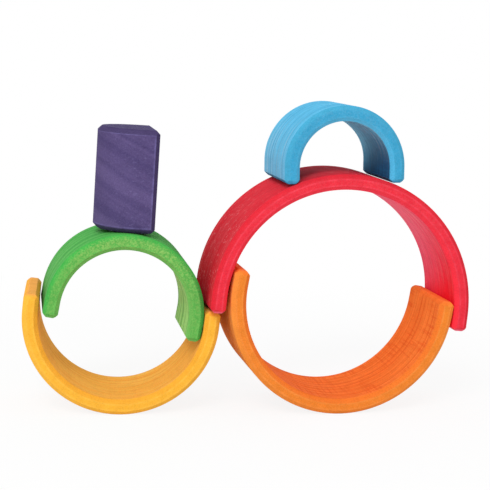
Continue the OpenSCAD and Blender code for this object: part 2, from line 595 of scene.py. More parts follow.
class Workshop:
    """Makes the dyed wood with its painted light and shade: the shared effects once, as node groups, and
    one material for each dye.
    """

    def __init__(self) -> None:
        """Builds the shared effects."""
        self.streaks = self._streaks()
        self.growth = self._growth()
        self.saw_marks = self._saw_marks()
        self.borders = self._borders()
        self.mottle = self._mottle()

    @staticmethod
    def _group(
        name: str, inputs: dict[str, object], outputs: list[str]
    ) -> tuple[NodeKit, dict[str, Socket], bpy.types.Node]:
        """Starts a node group.

        Args:
            name: Name of the group.
            inputs: Names of its inputs with their defaults: a number, or a vector or None for a vector.
            outputs: Names of its value outputs.
        """
        tree = bpy.data.node_groups.new(name, "ShaderNodeTree")
        for key, default in inputs.items():
            kind = "NodeSocketFloat" if isinstance(default, float) else "NodeSocketVector"
            socket = tree.interface.new_socket(name=key, in_out="INPUT", socket_type=kind)
            if default is not None:
                socket.default_value = default
        for key in outputs:
            tree.interface.new_socket(name=key, in_out="OUTPUT", socket_type="NodeSocketFloat")
        kit = NodeKit(tree)
        source = kit.add("NodeGroupInput")
        return kit, {key: source.outputs[key] for key in inputs}, kit.add("NodeGroupOutput")

    def _streaks(self) -> bpy.types.NodeTree:
        """Fibre streaks: noise drawn out along the grain, from 0 to 1.

        Returns:
            The group.
        """
        kit, given, out = self._group(
            "Fibre streaks",
            {
                "Vector": None,
                "Along": LONG_FIBRE.along,
                "Across": LONG_FIBRE.across,
                "Seed": LONG_FIBRE.seed,
                "Low": LONG_FIBRE.low,
                "High": LONG_FIBRE.high,
            },
            ["Streak"],
        )
        scale = kit.join(given["Along"], given["Across"], given["Across"])
        drawn = kit.vector("MULTIPLY", given["Vector"], scale)
        moved = kit.vector("ADD", drawn, kit.join(given["Seed"], given["Seed"], given["Seed"]))
        value = kit.noise(moved, STREAK_NOISE)
        kit.wire(kit.span(value, given["Low"], given["High"]), out.inputs["Streak"])
        return kit.tree

    def _growth(self) -> bpy.types.NodeTree:
        """Growth lines: uneven bands across a direction, bent a little by slow noise, from 0 to 1.

        Returns:
            The group.
        """
        kit, given, out = self._group(
            "Growth lines",
            {
                "Vector": None,
                "Direction": DyeAndLight.growth_way,
                "Spacing": DyeAndLight.growth_gap,
                "Waver": DyeAndLight.growth_waver,
                "Low": DyeAndLight.growth_low,
                "High": DyeAndLight.growth_high,
                "Seed": 0.0,
            },
            ["Line"],
        )
        along = kit.add("ShaderNodeVectorMath", operation="DOT_PRODUCT")
        kit.feed(along, given["Vector"], given["Direction"])
        count = kit.math("DIVIDE", along.outputs["Value"], given["Spacing"])
        slow = kit.noise(given["Vector"], WAVER_NOISE)
        bent = kit.math("MULTIPLY_ADD", slow, given["Waver"], count)
        bands = kit.noise(kit.math("ADD", bent, given["Seed"]), BAND_NOISE, bands=True)
        kit.wire(kit.span(bands, given["Low"], given["High"]), out.inputs["Line"])
        return kit.tree

    def _saw_marks(self) -> bpy.types.NodeTree:
        """Saw marks: fine lines across the curve that come and go, from 0 to 1.

        Returns:
            The group.
        """
        kit, given, out = self._group(
            "Saw marks", {"Vector": None, "Pitch": 1.9 * MM, "Seed": 0.0}, ["Mark"]
        )
        along, depth, _ = kit.split(given["Vector"])
        count = kit.math("ADD", kit.math("DIVIDE", along, given["Pitch"]), given["Seed"])
        place = kit.join(count, kit.math("MULTIPLY", depth, SAW_DEPTH))
        line = kit.span(kit.noise(place, SAW_NOISE), *SAW_LINE)
        patch = kit.span(kit.noise(given["Vector"], PATCH_NOISE), *SAW_PATCH)
        kit.wire(kit.math("MULTIPLY", line, patch), out.inputs["Mark"])
        return kit.tree

    def _borders(self) -> bpy.types.NodeTree:
        """Bevels and the thin worn lines along their borders, from the distance to a bevel's middle.

        Returns:
            The group, which works in millimetres.
        """
        kit, given, out = self._group(
            "Bevel borders", {"Edge": 0.0, "Half width": 1.75, "Line width": 0.55}, ["Bevel", "Border"]
        )
        past = kit.math("SUBTRACT", given["Edge"], given["Half width"])
        kit.wire(kit.span(past, *BEVEL_FADE), out.inputs["Bevel"])
        off = kit.math("ABSOLUTE", kit.math("SUBTRACT", past, BORDER_OFFSET))
        widths = kit.math("DIVIDE", off, given["Line width"])
        kit.wire(kit.span(widths, *BORDER_FADE), out.inputs["Border"])
        return kit.tree

    def _mottle(self) -> bpy.types.NodeTree:
        """Mottle of pores and fibre ends, from 0 to 1, at two sizes.

        Returns:
            The group.
        """
        kit, given, out = self._group("Fine mottle", {"Vector": None}, ["Fine", "Broad"])
        for key, look in (("Fine", FINE_NOISE), ("Broad", BROAD_NOISE)):
            kit.wire(kit.span(kit.noise(given["Vector"], look), *MOTTLE), out.inputs[key])
        return kit.tree

    @staticmethod
    def _use(kit: NodeKit, tree: bpy.types.NodeTree, **values: object) -> bpy.types.Node:
        """Places a group in a material.

        Args:
            kit: The material's kit.
            tree: The group.
            **values: Values or outputs for its inputs.

        Returns:
            The group node.
        """
        node = kit.add("ShaderNodeGroup", node_tree=tree)
        for key, value in values.items():
            kit.wire(value, node.inputs[key])
        return node

    def _places(self, kit: NodeKit) -> Places:
        """Reads where on the piece a point lies.

        Args:
            kit: The material's kit.

        Returns:
            The places.
        """
        outer, inner, end = kit.split(kit.attribute("sides", "Vector"))
        _, depth, across = kit.split(kit.attribute("bent", "Vector"))
        borders = self._use(kit, self.borders, Edge=kit.attribute("edge", "Fac"))
        curved = kit.math("ADD", outer, inner)
        return Places(
            outer=outer,
            inner=inner,
            end=end,
            curved=curved,
            face=kit.rest(kit.math("ADD", curved, end)),
            bevel=borders.outputs["Bevel"],
            border=borders.outputs["Border"],
            rise=kit.attribute("rise", "Fac"),
            depth=depth,
            across=across,
        )

    def _fibres(self, kit: NodeKit, vector: Socket, look: Streak, dye: DyeAndLight) -> Socket:
        """Places one kind of fibre.

        Args:
            kit: The material's kit.
            vector: The coordinates that it follows.
            look: The kind of fibre.
            dye: The piece's dye and painted light.

        Returns:
            The streaks, from 0 to 1.
        """
        streaks = self._use(
            kit,
            self.streaks,
            Vector=vector,
            Along=look.along,
            Across=look.across,
            Seed=dye.grain_seed + look.seed,
            Low=look.low,
            High=look.high,
        )
        return streaks.outputs["Streak"]

    def _grain(self, kit: NodeKit, dye: DyeAndLight) -> Grain:
        """Places all of a piece's grain, along the curve or through the block.

        Args:
            kit: The material's kit.
            dye: The piece's dye and painted light.

        Returns:
            The grain.
        """
        block, bent = kit.attribute("block", "Vector"), kit.attribute("bent", "Vector")
        growth = self._use(
            kit,
            self.growth,
            Vector=bent,
            Direction=dye.growth_way,
            Spacing=dye.growth_gap,
            Waver=dye.growth_waver,
            Low=dye.growth_low,
            High=dye.growth_high,
            Seed=dye.grain_seed,
        )
        marks = self._use(kit, self.saw_marks, Vector=bent, Seed=dye.grain_seed)
        mottle = self._use(kit, self.mottle, Vector=block)
        return Grain(
            fibre=self._fibres(kit, bent, LONG_FIBRE, dye),
            fleck=self._fibres(kit, bent, SHORT_FLECK, dye),
            pale=self._fibres(kit, bent, PALE_FIBRE, dye),
            speck=self._fibres(kit, block, SPECK, dye),
            line=growth.outputs["Line"],
            mark=marks.outputs["Mark"],
            fine=mottle.outputs["Fine"],
            broad=mottle.outputs["Broad"],
        )

    @staticmethod
    def _colour(kit: NodeKit, dye: DyeAndLight, at: Places, grain: Grain) -> Socket:
        """Colours the wood.

        The dye is even on the front and back faces, deeper along the growth lines, paler where fibres took
        less of it and worn thin along the bevels' borders. The bevels, the ends and the curved faces take
        colours of their own,
        in which light and shade are painted: the outer face changes from its crown to its legs, and the
        inner face turns to painted shade at its low front.

        Args:
            kit: The material's kit.
            dye: The piece's dye and painted light.
            at: Where on the piece a point lies.
            grain: The piece's grain.

        Returns:
            The colour.
        """
        # Painted light and shade on the outer face, from its crown colour to its colour at the legs
        outside = kit.mix(kit.span(at.rise, *TOWARDS_LEGS), dye.outside, dye.outside_low_painted_light)
        # Painted shade on the inner face: its colour turns to the shade colour towards the low front
        painted_shade_front = kit.span(kit.math("MULTIPLY_ADD", at.depth, SHADE_DEPTH_SLOPE, at.rise), *SHADE_FADE)
        inside = kit.mix(painted_shade_front, dye.inside, dye.inside_low_painted_shade)
        colour = kit.mix(at.outer, dye.main, outside)
        colour = kit.mix(at.inner, colour, inside)
        # The ends take their colour, with painted light and shade
        colour = kit.mix(at.end, colour, dye.end)

        colour = kit.layer(colour, dye.deep, grain.line, at.curved, dye.growth)
        colour = kit.layer(colour, dye.deep, grain.fibre, at.curved, dye.fibre)
        colour = kit.layer(colour, dye.deep, grain.mark, at.inner, dye.saw)
        # Bevel colours: dye with painted light and shade, to even out how the bevels are lit
        bevels = kit.mix(kit.span(at.across, *OUTER_HALF), dye.inner_bevel_dye_and_light, dye.outer_bevel_dye_and_light)
        colour = kit.layer(colour, bevels, at.bevel, kit.rest(at.end), BEVEL_SHARE)

        flat = kit.rest(at.bevel)
        open_outside = kit.product(at.outer, kit.span(at.rise, *BELOW_CROWN), flat)
        open_inside = kit.product(at.inner, kit.span(at.rise, *TOWARDS_CROWN), flat)
        colour = kit.layer(colour, dye.pale, grain.fleck, open_outside, dye.fleck)
        pale_outside = kit.product(open_outside, dye.pale_outside)
        pale_sides = kit.math("MULTIPLY_ADD", open_inside, dye.pale_inside, pale_outside)
        colour = kit.layer(colour, dye.pale, grain.pale, pale_sides)
        on_face = kit.span(at.rise, *SPECKLED, LEAST_SPECKLE * dye.speckle, dye.speckle)
        specks = kit.math("MULTIPLY_ADD", at.curved, dye.curved_speckle, kit.product(at.face, on_face))
        colour = kit.layer(colour, dye.pale, grain.speck, specks)
        wear = kit.span(grain.broad, *WHOLE, LEAST_WEAR * dye.worn, dye.worn)
        colour = kit.layer(colour, dye.border, at.border, wear)

        fine = kit.span(grain.fine, *WHOLE, *FINE_TONE)
        tone = kit.product(fine, kit.span(grain.broad, *WHOLE, *BROAD_TONE))
        grey = kit.feed(kit.add("ShaderNodeCombineColor"), tone, tone, tone).outputs[0]
        return kit.mix(1.0, colour, grey, "MULTIPLY")

    @staticmethod
    def _relief(kit: NodeKit, at: Places, grain: Grain) -> Socket:
        """Raises the fibres and the mottle and cuts the saw marks in.

        Args:
            kit: The material's kit.
            at: Where on the piece a point lies.
            grain: The piece's grain.

        Returns:
            The normal.
        """
        height = kit.math("MULTIPLY_ADD", grain.fibre, FIBRE_RELIEF, grain.fine)
        height = kit.math("SUBTRACT", height, kit.math("MULTIPLY", grain.mark, at.curved))
        bump = kit.add("ShaderNodeBump")
        bump.inputs["Strength"].default_value = RELIEF_STRENGTH
        bump.inputs["Distance"].default_value = RELIEF_DEPTH
        kit.wire(height, bump.inputs["Height"])
        return bump.outputs[0]

    def wood(self, dye: DyeAndLight) -> bpy.types.Material:
        """Makes the dyed wood of one piece, with its painted light and shade.

        Args:
            dye: The piece's dye and painted light.

        Returns:
            The new material.
        """
        material = bpy.data.materials.new("dyed_wood_and_painted_light_" + dye.slot)
        kit = NodeKit.emptied(material)
        at, grain = self._places(kit), self._grain(kit, dye)
        shader = kit.add("ShaderNodeBsdfPrincipled")
        kit.wire(self._colour(kit, dye, at, grain), shader.inputs["Base Color"])
        kit.wire(kit.span(grain.fibre, *WHOLE, *ROUGHNESS), shader.inputs["Roughness"])
        shader.inputs["Specular IOR Level"].default_value = GLOSS
        kit.wire(self._relief(kit, at, grain), shader.inputs["Normal"])
        kit.wire(shader.outputs[0], kit.add("ShaderNodeOutputMaterial").inputs["Surface"])
        return material


def add_object(name: str, data: bpy.types.ID) -> bpy.types.Object:
    """Makes an object and adds it to the scene.

    Args:
        name: Name of the new object.
        data: Its mesh, camera or lamp.

    Returns:
        The new object, at the origin and unturned.
    """
    made = bpy.data.objects.new(name, data)
    bpy.context.scene.collection.objects.link(made)
    return made


@dataclass
class Surface:
    """A closed surface: rings of points with a cap on the first and the last ring.

    Attributes:
        points: Own-frame points, as rings by loop by 3.
        bent: Coordinates along the curve, along the depth and across the thickness, in metres.
        sides: Shares of the outer face, the inner face and the end face at each point.
        edge: Distance from the middle of the nearest bevel, in millimetres.
        rise: Height in the own frame, from 0 at the bottom to 1 at the crown.
    """

    points: np.ndarray
    bent: np.ndarray
    sides: np.ndarray
    edge: np.ndarray
    rise: np.ndarray

    def faces(self) -> list[list[int]]:
        """Quads between neighbouring rings, each ring closed on itself, and one cap at each end.

        Returns:
            Lists of point numbers, turned so that the faces point outwards.
        """
        rings, loop = self.points.shape[:2]
        first = np.arange(rings - 1)[:, None] * loop
        here = np.arange(loop)[None, :]
        beside = (here + 1) % loop
        quads = np.stack(
            [first + here, first + beside, first + loop + beside, first + loop + here], axis=-1
        )
        last = (rings - 1) * loop
        caps = [np.arange(loop)[::-1].tolist(), (last + np.arange(loop)).tolist()]
        return quads.reshape(-1, 4).tolist() + caps

    def make(self, name: str, pose: Pose) -> bpy.types.Object:
        """Makes the mesh at its place in the stack, with the wood's coordinates as attributes.

        Args:
            name: Name of the new object.
            pose: Place of the piece in the stack.

        Returns:
            The new object, at the origin and unturned.
        """
        mesh = bpy.data.meshes.new(name)
        mesh.from_pydata(pose.place(self.points).reshape(-1, 3).tolist(), [], self.faces())
        for key, values in (("block", self.points), ("bent", self.bent), ("sides", self.sides)):
            layer = mesh.attributes.new(key, "FLOAT_VECTOR", "POINT")
            layer.data.foreach_set("vector", values.reshape(-1).astype(np.float32))
        for key, values in (("edge", self.edge), ("rise", self.rise)):
            layer = mesh.attributes.new(key, "FLOAT", "POINT")
            layer.data.foreach_set("value", values.reshape(-1).astype(np.float32))
        mesh.polygons.foreach_set("use_smooth", np.ones(len(mesh.polygons), dtype=bool))
        mesh.update()
        return add_object(name, mesh)


def blend_corner(
    before: np.ndarray, corner: np.ndarray, after: np.ndarray, radius: float, steps: int
) -> np.ndarray:
    """Rounds a corner between two sides.

    The rounding is the parabola that leaves one side and joins the other at the same distance from the
    corner: the radius times the tangent of half the turn, and at most a set share of the shorter side.

    Args:
        before: Points before the corner, any shape ending in 2.
        corner: The corners.
        after: Points after the corner.
        radius: Radius of the rounding.
        steps: Number of steps along it.

    Returns:
        The points of the rounding, with the steps as the axis before the last.
    """
    back, ahead = before - corner, after - corner
    back_length = np.linalg.norm(back, axis=-1, keepdims=True)
    ahead_length = np.linalg.norm(ahead, axis=-1, keepdims=True)
    back, ahead = back / back_length, ahead / ahead_length
    turn = np.arccos(np.clip(-(back * ahead).sum(-1, keepdims=True), -1.0, 1.0))
    reach = np.minimum(radius * np.tan(turn / 2), CORNER_SHARE * np.minimum(back_length, ahead_length))
    share = np.linspace(0.0, 1.0, steps + 1)[:, None]
    bend = (1 - share) ** 2 * (back * reach)[..., None, :] + share**2 * (ahead * reach)[..., None, :]
    return corner[..., None, :] + bend


def side_shares(steps: int, support: float) -> np.ndarray:
    """Shares along a side where points stand: even steps, with one more point close to each end."""
    return np.concatenate([[support], np.linspace(0.0, 1.0, steps + 1)[1:-1], [1 - support]])


def along_side(begin: np.ndarray, finish: np.ndarray, shares: np.ndarray) -> np.ndarray:
    """Points of each ring on the straight side between two points, at the given shares of its length."""
    return begin[:, None] + shares[:, None] * (finish - begin)[:, None]


def bevel_distance(first: np.ndarray, second: np.ndarray, bevel: float) -> np.ndarray:
    """Distance from the middle of the bevel between two sides.

    On the bevel it is the difference of the distances from the two sides over the root of two, and
    beside it the larger of these distances less half the bevel.

    Args:
        first: Distance from one side.
        second: Distance from the other side.
        bevel: Size of the bevel.

    Returns:
        The distance, in the same unit.
    """
    on_bevel = np.abs(first - second) / math.sqrt(2)
    beside = np.maximum(first, second) - bevel / 2
    return np.where(first + second > BEVEL_ZONE * bevel, beside, on_bevel)


@dataclass(frozen=True)
class EndProfile:
    """Rounded bevel around the end of a straight length: rings by drop along it and by inset.

    Attributes:
        start: Length at which the rings begin.
        length: Full length to the end face.
        bevel: Size of the bevel.
        radius: Radius of the rounding on both borders of the bevel.
        straight_steps: Steps along the straight length.
        corner_steps: Steps along each rounding.
        support: Inset of the last ring from the rounding, on the end face.
    """

    start: float
    length: float
    bevel: float
    radius: float
    straight_steps: int = 4
    corner_steps: int = 4
    support: float = 0.25 * MM

    def rings(self) -> np.ndarray:
        """Pairs of drop and inset: the straight length, the rounded bevel and one ring on the end face.

        Returns:
            An array of rings by 2.
        """
        begin = np.array([self.start, 0.0])
        low = np.array([self.length - self.bevel, 0.0])
        end = np.array([self.length, self.bevel])
        face = np.array([self.length, 2 * self.bevel])
        first = blend_corner(begin, low, end, self.radius, self.corner_steps)
        second = blend_corner(low, end, face, self.radius, self.corner_steps)
        shares = np.linspace(0.0, 1.0, self.straight_steps + 1)[1:-1, None]
        straight = begin + shares * (first[0] - begin)
        middle = (first[-1] + second[0])[None, :] / 2
        last = second[-1:] + np.array([0.0, self.support])
        return np.concatenate([straight, first, middle, second, last])


@dataclass
class Piece:
    """One piece of the rainbow: the CAD node it stands for, its dye with painted light and shade, and its
    place in the stack.
    """

    node: str
    dye: DyeAndLight
    pose: Pose
    block: Block

    def surface(self) -> Surface:
        """Works out the piece's surface in its own frame."""
        raise NotImplementedError

    def build(self, workshop: Workshop) -> bpy.types.Object:
        """Makes the piece, dresses it and sets it in the place of its CAD node.

        Args:
            workshop: Maker of the dyed wood.

        Returns:
            The finished object.
        """
        piece = self.surface().make(self.node + "_wood", self.pose)
        piece.data.materials.append(workshop.wood(self.dye))
        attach(piece, self.node)
        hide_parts(self.node)
        return piece

    def misfit(self, made: bpy.types.Object) -> float:
        """Measures how far the piece's box is from its node's.

        Args:
            made: The finished object.

        Returns:
            The largest distance between the sides of the two boxes, in metres.
        """
        points = np.empty(3 * len(made.data.vertices), dtype=np.float32)
        made.data.vertices.foreach_get("co", points)
        points = points.reshape(-1, 3)
        low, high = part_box(self.node)
        off = np.abs([points.min(0) - np.array(low), points.max(0) - np.array(high)])
        return float(off.max())


@dataclass
class Arch(Piece):
    """An arch on straight legs with a bevelled section.

    Attributes:
        order: Its place in the nested set.
        arc_steps: Steps round the half circle.
        face_steps: Steps along the depth.
        edge_steps: Steps across the thickness.
        bevel_steps: Steps across a bevel.
        corner_steps: Steps along each rounding.
        edge_support: Share of a short side at which its first point stands.
        face_support: Share of a long side at which its first point stands.
    """

    order: Order
    arc_steps: int = 144
    face_steps: int = 16
    edge_steps: int = 4
    bevel_steps: int = 2
    corner_steps: int = 4
    edge_support: float = 0.06
    face_support: float = 0.006

    def section(self, inset: np.ndarray) -> tuple[np.ndarray, np.ndarray, np.ndarray]:
        """Rounded, bevelled section across the radius and the depth, drawn in by an inset.

        The rectangle between the two radii and the two faces is drawn in by the inset. Its corners are
        cut by the bevel less twice the inset, which is where the end's bevel meets them, and every
        corner of the outline is rounded.

        Args:
            inset: Inset of each ring.

        Returns:
            Points as rings by loop by 2, the shares of outer and inner face as loop by 2, and the
            distance from the middle of the nearest bevel along the loop, in millimetres.
        """
        size = self.block
        low_x, high_x = size.inner(self.order) + inset, size.outer(self.order) - inset
        low_y, high_y = inset - size.depth / 2, size.depth / 2 - inset
        cut = np.maximum(size.bevel - 2 * inset, size.least_chamfer)
        corners = np.stack(
            [
                np.stack([low_x + cut, low_y], -1),
                np.stack([high_x - cut, low_y], -1),
                np.stack([high_x, low_y + cut], -1),
                np.stack([high_x, high_y - cut], -1),
                np.stack([high_x - cut, high_y], -1),
                np.stack([low_x + cut, high_y], -1),
                np.stack([low_x, high_y - cut], -1),
                np.stack([low_x, low_y + cut], -1),
            ],
            axis=1,
        )
        before, after = np.roll(corners, 1, axis=1), np.roll(corners, -1, axis=1)
        rounded = blend_corner(before, corners, after, size.sanding, self.corner_steps)
        begin, finish = rounded[:, :, -1], np.roll(rounded[:, :, 0], -1, axis=1)
        across = side_shares(self.edge_steps, self.edge_support)
        bevel = side_shares(self.bevel_steps, self.edge_support)
        along = side_shares(self.face_steps, self.face_support)
        parts = []
        for side, shares in enumerate((across, bevel, along, bevel) * 2):
            parts.append(rounded[:, side])
            parts.append(along_side(begin[:, side], finish[:, side], shares))
        points = np.concatenate(parts, axis=1)
        full = points[np.argmin(inset)]
        radial = full[:, 0] - size.inner(self.order)
        from_curve = size.thickness / 2 - np.abs(radial - size.thickness / 2)
        from_face = size.depth / 2 - np.abs(full[:, 1])
        curved = np.clip(from_face / size.bevel, 0.0, 1.0)
        outside = radial > size.thickness / 2
        shares = np.stack([outside * curved, ~outside * curved], axis=-1)
        edge = bevel_distance(from_curve, from_face, size.bevel) / MM
        return points, shares, edge

    def surface(self) -> Surface:
        """Carries the section up one leg, round the half circle and down the other leg.

        A point at radius r stands at (r cos a, y, r sin a - d), where a is the angle round the half
        circle and d the drop along a leg, and the section is drawn in around the ends of the legs.

        Returns:
            The closed surface.
        """
        size = self.block
        end = EndProfile(0.0, size.leg, size.bevel, size.sanding).rings()
        arc = np.linspace(0, np.pi, self.arc_steps + 1)
        angle = np.concatenate([np.zeros(len(end)), arc, np.full(len(end), np.pi)])
        drop = np.concatenate([end[::-1, 0], np.zeros(len(arc)), end[:, 0]])
        inset = np.concatenate([end[::-1, 1], np.zeros(len(arc)), end[:, 1]])
        loop, shares, edge = self.section(inset)
        radius, depth = loop[..., 0], loop[..., 1]
        height = radius * np.sin(angle)[:, None] - drop[:, None]
        points = np.stack([radius * np.cos(angle)[:, None], depth, height], axis=-1)
        mean = (size.inner(self.order) + size.outer(self.order)) / 2
        along = angle * mean + np.where(angle > np.pi / 2, drop, -drop)
        along = np.broadcast_to(along[:, None], radius.shape)
        bent = np.stack([along, depth, radius - size.inner(self.order)], axis=-1)
        ended = np.broadcast_to(np.clip(inset / size.bevel, 0.0, 1.0)[:, None], radius.shape)
        sides = np.stack([shares[:, 0] * (1 - ended), shares[:, 1] * (1 - ended), ended], axis=-1)
        above_end = np.where(inset > 0, 0.0, size.leg - drop)
        end_edge = (np.abs(inset - size.bevel / 2) * math.sqrt(2) + above_end) / MM
        edge = np.minimum(edge[None, :], end_edge[:, None])
        rise = (height + size.leg) / (radius + size.leg)
        return Surface(points, bent, sides, edge, rise)


@dataclass
class Core(Piece):
    """The solid half-round core, bevelled around both ends and along its underside.

    Attributes:
        arc_steps: Steps round the half circle.
        side_steps: Steps along each short side.
        base_steps: Steps across the base.
        bevel_steps: Steps across a bevel.
        depth_steps: Steps along the depth.
        corner_steps: Steps along each rounding.
        side_support: Share of a short side at which its first point stands.
        base_support: Share of the base at which its first point stands.
        bevel_support: Share of a bevel at which its first point stands.
    """

    arc_steps: int = 72
    side_steps: int = 6
    base_steps: int = 14
    bevel_steps: int = 2
    depth_steps: int = 24
    corner_steps: int = 4
    side_support: float = 0.03
    base_support: float = 0.006
    bevel_support: float = 0.06

    def outline(self, inset: np.ndarray) -> np.ndarray:
        """Outline across the depth, drawn in by an inset: a half circle on two short sides and a base.

        The two corners at the base are cut by the bevel less twice the inset and then rounded.

        Args:
            inset: Inset of each ring.

        Returns:
            Points as rings by loop by 2.
        """
        size = self.block
        radius = (size.core_radius() - inset)[:, None]
        base = (inset - size.leg)[:, None]
        cut = np.maximum(size.bevel - 2 * inset, size.least_chamfer)[:, None]
        angle = np.linspace(0, np.pi, self.arc_steps + 1)[None, :]
        round_part = np.stack([radius * np.cos(angle), radius * np.sin(angle)], axis=-1)
        corners = np.stack(
            [
                np.concatenate([-radius, base + cut], -1),
                np.concatenate([-radius + cut, base], -1),
                np.concatenate([radius - cut, base], -1),
                np.concatenate([radius, base + cut], -1),
            ],
            axis=1,
        )
        start, stop = round_part[:, -1:], round_part[:, :1]
        before = np.concatenate([start, corners[:, :-1]], axis=1)
        after = np.concatenate([corners[:, 1:], stop], axis=1)
        rounded = blend_corner(before, corners, after, size.sanding, self.corner_steps)
        begin = np.concatenate([start, rounded[:, :, -1]], axis=1)
        finish = np.concatenate([rounded[:, :, 0], stop], axis=1)
        short = side_shares(self.side_steps, self.side_support)
        bevel = side_shares(self.bevel_steps, self.bevel_support)
        under = side_shares(self.base_steps, self.base_support)
        parts = [round_part]
        for side, shares in enumerate((short, bevel, under, bevel, short)):
            parts.append(along_side(begin[:, side], finish[:, side], shares))
            if side < corners.shape[1]:
                parts.append(rounded[:, side])
        return np.concatenate(parts, axis=1)

    def surface(self) -> Surface:
        """Carries the outline along the depth and draws it in around both ends.

        A point of the outline (x, z) stands at (x, y, z), where y runs along the depth. The loops are
        turned round at the end, so that the faces point outwards.

        Returns:
            The closed surface.
        """
        size = self.block
        inside = size.depth / 2 - 2 * size.bevel
        end = EndProfile(inside, size.depth / 2, size.bevel, size.sanding).rings()
        middle = np.linspace(-1, 1, self.depth_steps + 1) * inside
        depth = np.concatenate([-end[::-1, 0], middle, end[:, 0]])
        inset = np.concatenate([end[::-1, 1], np.zeros(len(middle)), end[:, 1]])
        loop = self.outline(inset)
        depth_grid = np.broadcast_to(depth[:, None], loop.shape[:2])
        points = np.stack([loop[..., 0], depth_grid, loop[..., 1]], axis=-1)
        bent = np.stack([loop[..., 1], depth_grid, loop[..., 0]], axis=-1)
        full = loop[np.argmin(inset)]
        from_side = size.core_radius() - np.abs(full[:, 0])
        from_base = full[:, 1] + size.leg
        ended = np.broadcast_to(np.clip(inset / size.bevel, 0.0, 1.0)[:, None], loop.shape[:2])
        under = np.clip(1 - from_base / size.bevel, 0.0, 1.0)
        sides = np.stack([(1 - under) * (1 - ended), under * (1 - ended), ended], axis=-1)
        end_edge = np.where(
            inset > 0,
            np.abs(inset - size.bevel / 2) * math.sqrt(2),
            size.depth / 2 - np.abs(depth) - size.bevel / 2,
        )
        base_edge = bevel_distance(from_side, from_base, size.bevel)
        edge = np.minimum(end_edge[:, None], base_edge[None, :]) / MM
        rise = (loop[..., 1] + size.leg) / (size.core_radius() + size.leg)
        return Surface(points[:, ::-1], bent[:, ::-1], sides[:, ::-1], edge[:, ::-1], rise[:, ::-1])


@dataclass(frozen=True)
class Viewpoint:
    """The camera: its place in metres, its angles in degrees and its focal length in picture widths."""

    place: Point = (-9.4 * MM, -894.5 * MM, 237.0 * MM)
    turn: float = -0.56
    down: float = 8.42
    roll: float = 1.5
    focal: float = FOCAL_PIXELS / PICTURE_PIXELS
    sensor: float = 36.0

    def build(self) -> bpy.types.Object:
        """Makes the camera: it looks along +Y, tilted down, turned about Z and rolled about its own axis.

        Returns:
            The camera, set as the scene's own.
        """
        data = bpy.data.cameras.new("camera")
        data.sensor_fit = "HORIZONTAL"
        data.sensor_width = self.sensor
        data.lens = self.focal * self.sensor
        camera = add_object("camera", data)
        camera.location = self.place
        turn = Matrix.Rotation(math.radians(self.turn), 3, "Z")
        tilt = Matrix.Rotation(math.radians(QUARTER_TURN - self.down), 3, "X")
        roll = Matrix.Rotation(math.radians(self.roll), 3, "Z")
        camera.rotation_euler = (turn @ tilt @ roll).to_euler()
        bpy.context.scene.camera = camera
        return camera


@dataclass(frozen=True)
class Lamp:
    """A soft square lamp: its place and aim in metres, its side, and its power in watts."""

    name: str
    place: Point
    aim: Point
    side: float
    power: float

    def build(self) -> bpy.types.Object:
        """Makes the lamp and turns it to its aim.

        Returns:
            The lamp.
        """
        data = bpy.data.lights.new(self.name, "AREA")
        data.shape = "SQUARE"
        data.size = self.side
        data.energy = self.power
        lamp = add_object(self.name, data)
        lamp.location = self.place
        lamp.rotation_euler = (Vector(self.aim) - Vector(self.place)).to_track_quat("-Z", "Y").to_euler()
        return lamp


KEY_LAMP = Lamp(name="key", place=(-0.45, -1.75, 1.8), aim=(0.0, 0.0, 0.09), side=1.0, power=31.0)


